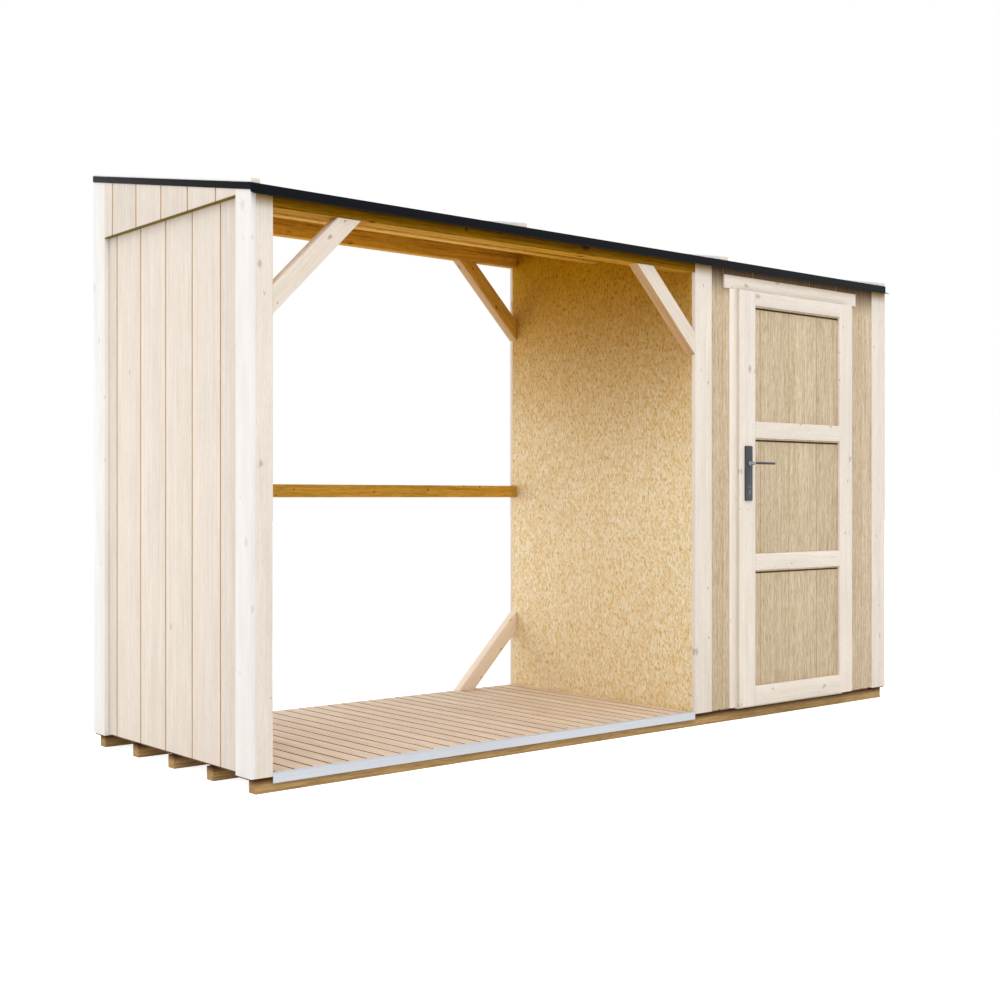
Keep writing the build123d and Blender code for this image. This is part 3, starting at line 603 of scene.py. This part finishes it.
def make_beams():
    left_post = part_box("front_left_post")[1][0]
    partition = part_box("partition_panel")
    shed_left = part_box("front_middle_post")[1][0]
    shed_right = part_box("front_right_post")[0][0]
    depth = {"front_beams": 60 * MM, "back_beams": 45 * MM}
    for name in ("front_beams", "back_beams"):
        low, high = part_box(name)
        near = (low[1], low[1] + depth[name])
        far = (high[1] - depth[name], high[1])
        bay, shed = (near, far) if name == "front_beams" else (far, near)
        piece = start_piece()
        for x0, x1, span in ((left_post, partition[0][0], bay), (shed_left, shed_right, shed)):
            lay(piece, block((x0, span[0], low[2]), (x1, span[1], high[2]), top=roof_under), SIDE, DEEP)
        # Front faces and undersides in painted shade under the roof, faces out at the back in plain planed
        # spruce
        paint_faces(piece)
        face = eave_framing if name == "front_beams" else roof_framing
        finish_piece(piece, f"{name}_timber", "root", [face, roof_framing, planed], [name])
    low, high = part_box("purlins")
    piece = start_piece()
    for x0, x1 in ((low[0], partition[0][0]), (partition[1][0], high[0])):
        lay(piece, block((x0, low[1], low[2]), (x1, high[1], high[2]), top=roof_under), SIDE, DEEP)
    paint_faces(piece)
    finish_piece(piece, "purlins_timber", "root", [roof_framing, framing, roof_framing],
                 ["purlins"])
    piece = start_piece()
    lay(piece, block(*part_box("back_rail")), SIDE, UP)
    paint_faces(piece)
    finish_piece(piece, "back_rail_timber", "root", [framing, framing, planed], ["back_rail"])
    rail_height = 50 * MM
    for side in ("left", "right"):
        low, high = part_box(f"{side}_wall_rails")
        piece = start_piece()
        for z0 in (low[2], high[2] - rail_height):
            lay(piece, block((low[0], low[1], z0), (high[0], high[1], z0 + rail_height)), DEEP, UP)
        finish_piece(piece, f"{side}_wall_rails_timber", "root", [framing],
                     [f"{side}_wall_rails"])


# Braces across the corners
def make_braces():
    width = 60 * MM * math.sqrt(2)
    for name, turn_x, turn_z in (
        ("front_left_brace", 1, -1),
        ("front_right_brace", -1, -1),
        ("back_left_upper_brace", 1, -1),
        ("back_right_upper_brace", -1, -1),
        ("back_left_lower_brace", 1, 1),
        ("back_right_lower_brace", -1, 1),
    ):
        low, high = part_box(name)
        corner_x = low[0] if turn_x > 0 else high[0]
        corner_z = high[2] if turn_z < 0 else low[2]
        far = high[0] - low[0]
        near = far - width
        points = [(corner_x + turn_x * near, low[1], corner_z), (corner_x + turn_x * far, low[1], corner_z),
                  (corner_x, low[1], corner_z + turn_z * far), (corner_x, low[1], corner_z + turn_z * near)]
        piece = start_piece()
        lay(piece, prism(points, DEEP, high[1] - low[1]), (turn_x, 0, -turn_z), DEEP)
        paint_faces(piece)
        faces = [brace_wood, brace_underside_shade, brace_wood]
        if "back" in name:
            faces = [framing, brace_underside_shade, planed] if "upper" in name else [warm_brace, warm_brace, planed]
        finish_piece(piece, f"{name}_timber", "root", faces, [name])


# Boarded walls
def boards_between(start, end, first):
    """Edges of boards between two places, at the board pitch, one seam at first."""
    seams = [first + i * BOARD_PITCH for i in range(-20, 30)]
    inner = [s for s in seams if start + 8 * MM < s < end - 8 * MM]
    return list(zip([start] + inner, inner + [end]))


def make_boarding(name, node_names, along_x, first, material, sloped, joint, body="root", span=None,
                  recess=0.0, foot=0.0):
    """A panel of upright tongue-and-groove boards, with the tongue showing in each open joint."""
    boxes = [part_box(n) for n in node_names]
    low = [min(b[0][i] for b in boxes) for i in range(3)]
    high = [max(b[1][i] for b in boxes) for i in range(3)]
    low[1] += recess
    low[2] += foot
    axis, deep = (0, 1) if along_x else (1, 0)
    if span:
        low[axis], high[axis] = span
    top = roof_under if sloped else None
    across = SIDE if along_x else DEEP
    piece = start_piece()
    edges = boards_between(low[axis], high[axis], first)
    outer = (low[axis] + GROOVE, high[axis] - GROOVE)
    for a, b in edges:
        board_low, board_high = list(low), list(high)
        board_low[axis] = a + (joint / 2 if a > low[axis] else 0)
        board_high[axis] = b - (joint / 2 if b < high[axis] else 0)
        lay(piece, block(board_low, board_high, GROOVE, top), UP, across)
    piece.normal_update()
    for face in piece.faces:
        if abs(face.normal[axis]) > 0.5 and outer[0] < face.calc_center_median()[axis] < outer[1]:
            face.material_index = 2
    for a, b in edges[1:]:
        tongue_low, tongue_high = list(low), list(high)
        tongue_low[axis], tongue_high[axis] = a - joint, a + joint
        tongue_low[deep] += TONGUE_DEPTH
        tongue_high[deep] -= TONGUE_DEPTH
        tongue_low[2] += TONGUE_DEPTH
        tongue_high[2] -= TONGUE_DEPTH
        lower = (lambda y: roof_under(y) - TONGUE_DEPTH) if sloped else None
        lay(piece, block(tongue_low, tongue_high, 0.5 * MM, lower), UP, across, 1)
    finish_piece(piece, name, body, [material, tongue_wood, groove_wood], node_names)


def make_walls():
    end_seam = FRONT + 212 * MM
    front_seam = LEFT + 2092 * MM
    for side in ("left", "right"):
        make_boarding(f"{side}_wall_boards", [f"{side}_wall_cladding"], False, end_seam, pale_boards, True,
                      WALL_JOINT, foot=BOARD_LIFT)
        make_boarding(f"{side}_gable_boards", [f"{side}_gable"], False, end_seam, pale_boards, True,
                      WALL_JOINT, foot=GABLE_STRIP)
        # A strip of olive painted shadow under each gable
        low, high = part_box(f"{side}_gable")
        piece = start_piece()
        lay(piece, block(low, (high[0], high[1], low[2] + GABLE_STRIP), 0.6 * MM), DEEP, SIDE)
        finish_piece(piece, f"{side}_gable_strip", "root", [gable_shadow],
                     [f"{side}_gable"])
    over = "front_cladding_over_door"
    over_low, over_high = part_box(over)
    doorway_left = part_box("front_cladding_left")[1][0]
    doorway_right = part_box("front_cladding_right")[0][0]
    make_boarding("front_boards_left", ["front_cladding_left", over], True, front_seam, tan_boards, True,
                  SHED_JOINT, span=(over_low[0], doorway_left))
    make_boarding("front_boards_right", ["front_cladding_right", over], True, front_seam, tan_boards, True,
                  SHED_JOINT, span=(doorway_right, over_high[0]))
    make_boarding("front_boards_over_door", [over], True, front_seam, tan_boards, True, SHED_JOINT,
                  span=(doorway_left, doorway_right))
    make_boarding("shed_back_boards", ["shed_back_cladding"], True, front_seam, pale_boards, True, SHED_JOINT)
    piece = start_piece()
    low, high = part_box("partition_panel")
    lay(piece, block(low, high, 0.8 * MM, roof_under), UP, DEEP)
    finish_piece(piece, "partition_sheet", "root", [strands], ["partition_panel"])


# Roof
def make_roof():
    low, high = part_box("roof_deck")
    thick = 18 * MM
    piece = start_piece()
    count = round((high[0] - low[0]) / ROOF_BOARD_PITCH)
    pitch = (high[0] - low[0]) / count
    for i in range(count):
        shape = block((low[0] + i * pitch + BOARD_GAP / 2, low[1], low[2]),
                      (low[0] + (i + 1) * pitch - BOARD_GAP / 2, high[1], high[2]), 2 * MM,
                      top=lambda y: roof_under(y) + thick, under=roof_under)
        lay(piece, shape, DEEP, SIDE)
    paint_faces(piece)
    finish_piece(piece, "roof_boards", "root", [roof_framing, roof_framing, felt],
                 ["roof_deck"])
    low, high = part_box("roofing_felt")
    felt_thick = 3 * MM
    piece = start_piece()
    shape = block(low, high, 0.6 * MM, top=lambda y: roof_under(y) + thick + felt_thick,
                  under=lambda y: roof_under(y) + thick)
    lay(piece, shape, DEEP, SIDE)
    finish_piece(piece, "felt_sheet", "root", [felt], ["roofing_felt"])
    sheet, face_sheet, lip_drop, back_inset = 1.4 * MM, 2 * MM, 9 * MM, 14 * MM
    for name, out in (("front_drip_edge", -1), ("back_drip_edge", 1)):
        low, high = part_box(name)
        wall_y = high[1] if out < 0 else low[1]
        tip_y = low[1] if out < 0 else high[1]
        lip_z = low[2]
        bend_z = lip_z + lip_drop
        face_y = wall_y + out * face_sheet
        points = [(wall_y, high[2]), (face_y, high[2]), (face_y, bend_z + sheet), (tip_y, lip_z + sheet),
                  (tip_y, lip_z), (wall_y, bend_z)]
        piece = start_piece()
        inset = back_inset if out > 0 else 0
        outline = [(low[0] + inset, y, z) for y, z in points]
        shape = prism(outline, SIDE, high[0] - low[0] - 2 * inset, 0.4 * MM)
        lay(piece, shape, SIDE, DEEP)
        finish_piece(piece, f"{name}_sheet", "root", [drip_coat], [name])
    for side in ("left", "right"):
        name = f"{side}_drip_edge"
        low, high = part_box(name)
        verge = 21 * MM
        piece = start_piece()
        shape = block(low, high, 0.5 * MM, top=lambda y: roof_under(y) + verge, under=roof_under)
        lay(piece, shape, DEEP, UP)
        finish_piece(piece, f"{name}_sheet", "root", [drip_coat], [name])
    low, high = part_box("roof_battens")
    width, height, count = 32 * MM, 14 * MM, 4
    pitch = (high[0] - low[0] - width) / (count - 1)
    lift = thick + felt_thick
    nails, nail_inset, nail_head, nail_proud = 6, 60 * MM, 4 * MM, 1.6 * MM
    out_of_roof = Vector((0, -ROOF_SLOPE, 1)).normalized()
    piece = start_piece()
    for i in range(count):
        x0 = low[0] + i * pitch
        shape = block((x0, low[1], low[2]), (x0 + width, high[1], high[2]), ARRIS,
                      top=lambda y: roof_under(y) + lift + height, under=lambda y: roof_under(y) + lift)
        lay(piece, shape, DEEP, SIDE)
    piece.normal_update()
    # Ends in cladding wood; tops and sides in painted light, the sides near white
    for face in piece.faces:
        face.material_index = 1 if abs(face.normal.y) > 0.5 else 2 if face.normal.z > 0.5 else 0
    for i in range(count):
        for j in range(nails):
            y = low[1] + nail_inset + j * (high[1] - low[1] - 2 * nail_inset) / (nails - 1)
            foot = Vector((low[0] + i * pitch + width / 2, y, roof_under(y) + lift + height - 1 * MM))
            lay(piece, rod(foot, foot + out_of_roof * nail_proud, nail_head, 8), UP, SIDE, 3)
    finish_piece(piece, "roof_batten_strips", "root",
                 [painted_light_batten, pale_boards, painted_light_planed, grey_zinc], ["roof_battens"])


# Door surround
def make_door_surround():
    low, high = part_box("door_casings")
    width = 48 * MM
    piece = start_piece()
    for x0 in (low[0], high[0] - width):
        lay(piece, block((x0, low[1], low[2]), (x0 + width, high[1], high[2])), UP, SIDE)
    leaf_low, leaf_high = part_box("door_planks")
    seal, seal_clear = 12 * MM, 0.6 * MM
    for x0 in (leaf_low[0] + 1 * MM, leaf_high[0] - 1 * MM - seal):
        strip = block((x0, leaf_high[1] + seal_clear, leaf_low[2]), (x0 + seal, low[1], leaf_high[2]),
                      0.5 * MM)
        lay(piece, strip, UP, SIDE)
    finish_piece(piece, "door_casing_boards", "root", [casing_wood], ["door_casings"])
    timber("door_lintel_board", *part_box("door_lintel"), SIDE, UP, "planed_spruce", planed,
           nodes=["door_lintel"])
    timber("door_threshold_board", *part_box("door_threshold"), SIDE, DEEP, "planed_spruce", planed,
           nodes=["door_threshold"])


# Door leaf
def make_door():
    plank_seam = LEFT + 2290 * MM
    low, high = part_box("door_planks")
    make_boarding("door_plank_boards", ["door_planks"], True, plank_seam, tan_boards, False, DOOR_JOINT,
                  "door", (low[0] + LIPPING, high[0] - LIPPING), PANEL_SINK)
    piece = start_piece()
    for x0 in (low[0], high[0] - LIPPING):
        lay(piece, block((x0, low[1], low[2]), (x0 + LIPPING, high[1], high[2]), 1 * MM), UP, DEEP)
    finish_piece(piece, "door_edge_lippings", "door", [planed], ["door_planks"])
    for name in ("door_lock_stile", "door_hinge_stile"):
        low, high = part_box(name)
        piece = start_piece()
        lay(piece, block(low, (high[0], high[1] + PANEL_SINK, high[2]), DOOR_ARRIS, only=2), UP, SIDE)
        finish_piece(piece, f"{name}_board", "door", [planed], [name])
    low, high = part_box("door_rails")
    bottom_rail, rail, top_rail, panels = 75 * MM, 65 * MM, 55 * MM, 3
    bottom_top = low[2] + bottom_rail
    pitch = (high[2] - top_rail + rail - bottom_top) / panels
    spans = [(low[2], bottom_top)]
    spans += [(bottom_top + i * pitch - rail, bottom_top + i * pitch) for i in range(1, panels)]
    spans += [(high[2] - top_rail, high[2])]
    panel_face = high[1] + PANEL_SINK
    bead, shadow_strip, bead_depth, strip_depth = 6 * MM, 7 * MM, 7 * MM, 1 * MM
    piece = start_piece()
    for z0, z1 in spans:
        lay(piece, block((low[0], low[1], z0), (high[0], panel_face, z1), DOOR_ARRIS, only=0), SIDE, UP)
        if z0 > low[2]:
            shape = block((low[0], panel_face - bead_depth, z0 - bead), (high[0], panel_face, z0), 2 * MM,
                          only=0)
            lay(piece, shape, SIDE, UP, 1)
            # A strip of dark painted shadow under each rail's bead
            shape = block((low[0], panel_face - strip_depth, z0 - bead - shadow_strip),
                          (high[0], panel_face, z0 - bead), 0.4 * MM)
            lay(piece, shape, SIDE, UP, 2)
    finish_piece(piece, "door_rail_boards", "door", [planed, tan_boards, shadow_gap],
                 ["door_rails"])


# Handle: a plate with a key cylinder on each face of the leaf, a bright neck and a slim dark lever
def inlay(x, half_width, y0, y1, z0, z1, arris):
    """A small upright block let into a plate, about a middle line."""
    return block((x - half_width, min(y0, y1), z0), (x + half_width, max(y0, y1), z1), arris)


def make_handle():
    lever_low, lever_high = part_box("lever_set")
    spindle_z = (lever_low[2] + lever_high[2]) / 2
    neck = 8 * MM
    spindle_x = lever_low[0] + neck
    key_drop, key_radius, barrel_half, barrel_drop = 95 * MM, 8.5 * MM, 5 * MM, 24 * MM
    screw_inset, screw_radius, screw_slot_half, slot_half_height = 12 * MM, 4 * MM, 3.2 * MM, 0.6 * MM
    slit_half, slit_below, slit_above = 0.9 * MM, 5 * MM, 4 * MM
    let_in, stand_out, slot_share = 2 * MM, 0.9 * MM, 1.15
    for name, out in (("outer_handle_plate", -1), ("inner_handle_plate", 1)):
        low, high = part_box(name)
        face = low[1] if out < 0 else high[1]
        piece = start_piece()
        shape = bmesh.new()
        bmesh.ops.create_cube(shape, size=1)
        for v in shape.verts:
            v.co = Vector(low) + Vector([(v.co[i] + 0.5) * (high[i] - low[i]) for i in range(3)])
        uprights = [e for e in shape.edges if abs(e.verts[0].co.y - e.verts[1].co.y) > 1 * MM]
        soften(shape, 4 * MM, 4, uprights)
        rim = [e for e in shape.edges if all(abs(v.co.y - face) < 0.01 * MM for v in e.verts)]
        soften(shape, 1.2 * MM, 2, rim)
        lay(piece, shape, UP, SIDE)
        key_z = spindle_z - key_drop
        proud = out * stand_out
        sunk, raised, slot_face = face - out * let_in, face + proud, face + proud * slot_share
        cylinder = rod((spindle_x, sunk, key_z), (spindle_x, raised, key_z), key_radius, 24, 0.4 * MM)
        lay(piece, cylinder, UP, SIDE, 1)
        barrel = inlay(spindle_x, barrel_half, sunk, raised, key_z - barrel_drop, key_z, 0.4 * MM)
        lay(piece, barrel, UP, SIDE, 1)
        # Keyway and screw slots in near-black painted shade
        slit = inlay(spindle_x, slit_half, face, slot_face, key_z - slit_below, key_z + slit_above, 0.2 * MM)
        lay(piece, slit, UP, SIDE, 2)
        for screw_z in (low[2] + screw_inset, high[2] - screw_inset):
            head = rod((spindle_x, sunk, screw_z), (spindle_x, raised, screw_z), screw_radius, 20, 0.5 * MM)
            lay(piece, head, UP, SIDE)
            slot = inlay(spindle_x, screw_slot_half, face, slot_face, screw_z - slot_half_height,
                         screw_z + slot_half_height, 0.2 * MM)
            lay(piece, slot, UP, SIDE, 2)
        finish_piece(piece, f"{name}_cover", "door", [dark_handle, grey_zinc, black_hole],
                     [name])
    plates = [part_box("outer_handle_plate"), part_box("inner_handle_plate")]
    bar, spindle, plate_gap = 9 * MM, 3.4 * MM, 0.5 * MM
    collar_length, shank_radius, shank_lap, end_clear = 6 * MM, 6.5 * MM, 2 * MM, 1 * MM
    piece = start_piece()
    square = block((spindle_x - spindle, lever_low[1] + bar, spindle_z - spindle),
                   (spindle_x + spindle, lever_high[1] - bar, spindle_z + spindle), 0.4 * MM)
    lay(piece, square, DEEP, SIDE, 1)
    for out, tip, plate in ((-1, lever_low[1], plates[0][0][1]), (1, lever_high[1], plates[1][1][1])):
        start = plate + out * plate_gap
        inner = tip - out * bar
        for end, radius in ((start + out * collar_length, neck), (inner + out * shank_lap, shank_radius)):
            shape = rod((spindle_x, start, spindle_z), (spindle_x, end, spindle_z), radius, 32, 1 * MM)
            lay(piece, shape, DEEP, SIDE, 1)
        grip = block((lever_low[0] + end_clear, min(tip, inner), spindle_z - bar / 2),
                     (lever_high[0], max(tip, inner), spindle_z + bar / 2), 3.6 * MM)
        lay(piece, grip, SIDE, UP)
    finish_piece(piece, "lever_pair", "lever", [lever_coat, bright_steel], ["lever_set"])


# Hinges keep their CAD shape, in plated steel
def make_hinges():
    for name in ("frame_hinges", "door_hinges"):
        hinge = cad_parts[name]
        for slot in hinge.material_slots:
            slot.link = "OBJECT"
            slot.material = passivated


# Camera, light and ground
def direct_look(tree):
    """1 for the rays that show the white surroundings themselves, 0 for those that light the part."""
    path = node(tree, "LightPath")
    seen = node(tree, "Math", {0: path.outputs["Is Camera Ray"], 1: path.outputs["Is Glossy Ray"]},
                operation="MAXIMUM")
    seen = node(tree, "Math", {0: seen.outputs[0], 1: path.outputs["Is Transmission Ray"]},
                operation="MAXIMUM")
    return seen.outputs[0]


def make_stage():
    scene = bpy.context.scene
    scene.view_settings.view_transform = "Standard"
    lens = bpy.data.cameras.new("camera")
    lens.sensor_width = 36
    lens.lens = 50.5
    lens.shift_y = -0.0032
    camera = bpy.data.objects.new("camera", lens)
    bpy.context.collection.objects.link(camera)
    camera.location = (-3.6714, -4.1434, 0.876)
    camera.rotation_euler = (math.radians(90), 0, math.radians(-40.218))
    scene.camera = camera

    world = bpy.data.worlds.new("studio")
    scene.world = world
    world.use_nodes = True
    tree = world.node_tree
    tree.nodes.clear()
    power = node(tree, "Mix", {0: direct_look(tree), 2: 0.92, 3: 1.0})
    sky = node(tree, "Background", {"Color": (1, 1, 1, 1), "Strength": power.outputs[0]})
    node(tree, "OutputWorld", {"Surface": sky.outputs[0]})

    for name, place, target, size, watts in (
        ("key_window", (-8.6, -11.4, 24.8), (0.1, -0.2, 0.9), 20.0, 2000),
        ("left_window", (-14.0, 1.0, 2.5), (-1.5, 0, 1.0), 7.0, 85),
        ("back_window", (-1.1, 3.4, 0.9), (0.2, -0.1, 0.3), 2.4, 36),
    ):
        lamp = bpy.data.lights.new(name, "AREA")
        lamp.size = size
        lamp.energy = watts
        light = bpy.data.objects.new(name, lamp)
        bpy.context.collection.objects.link(light)
        light.location = place
        light.rotation_euler = (Vector(target) - Vector(place)).to_track_quat("-Z", "Y").to_euler()

    floor_mesh = bpy.data.meshes.new("ground")
    ground_shape = bmesh.new()
    bmesh.ops.create_grid(ground_shape, x_segments=1, y_segments=1, size=40)
    ground_shape.to_mesh(floor_mesh)
    ground_shape.free()
    ground = bpy.data.objects.new("ground", floor_mesh)
    bpy.context.collection.objects.link(ground)
    made, tree, shader = new_material("pale_ground")
    shader.inputs["Base Color"].default_value = (0.82, 0.82, 0.82, 1)
    shader.inputs["Roughness"].default_value = 1.0
    shader.inputs["Specular IOR Level"].default_value = 0.0
    glow = node(tree, "Math", {0: direct_look(tree), 1: 0.8}, operation="MULTIPLY")
    shader.inputs["Emission Color"].default_value = (1, 1, 1, 1)
    tree.links.new(glow.outputs[0], shader.inputs["Emission Strength"])
    floor_mesh.materials.append(made)


make_bearers()
make_floor()
make_floor_edge()
make_posts()
make_beams()
make_braces()
make_walls()
make_roof()
make_door_surround()
make_door()
make_handle()
make_hinges()
make_stage()
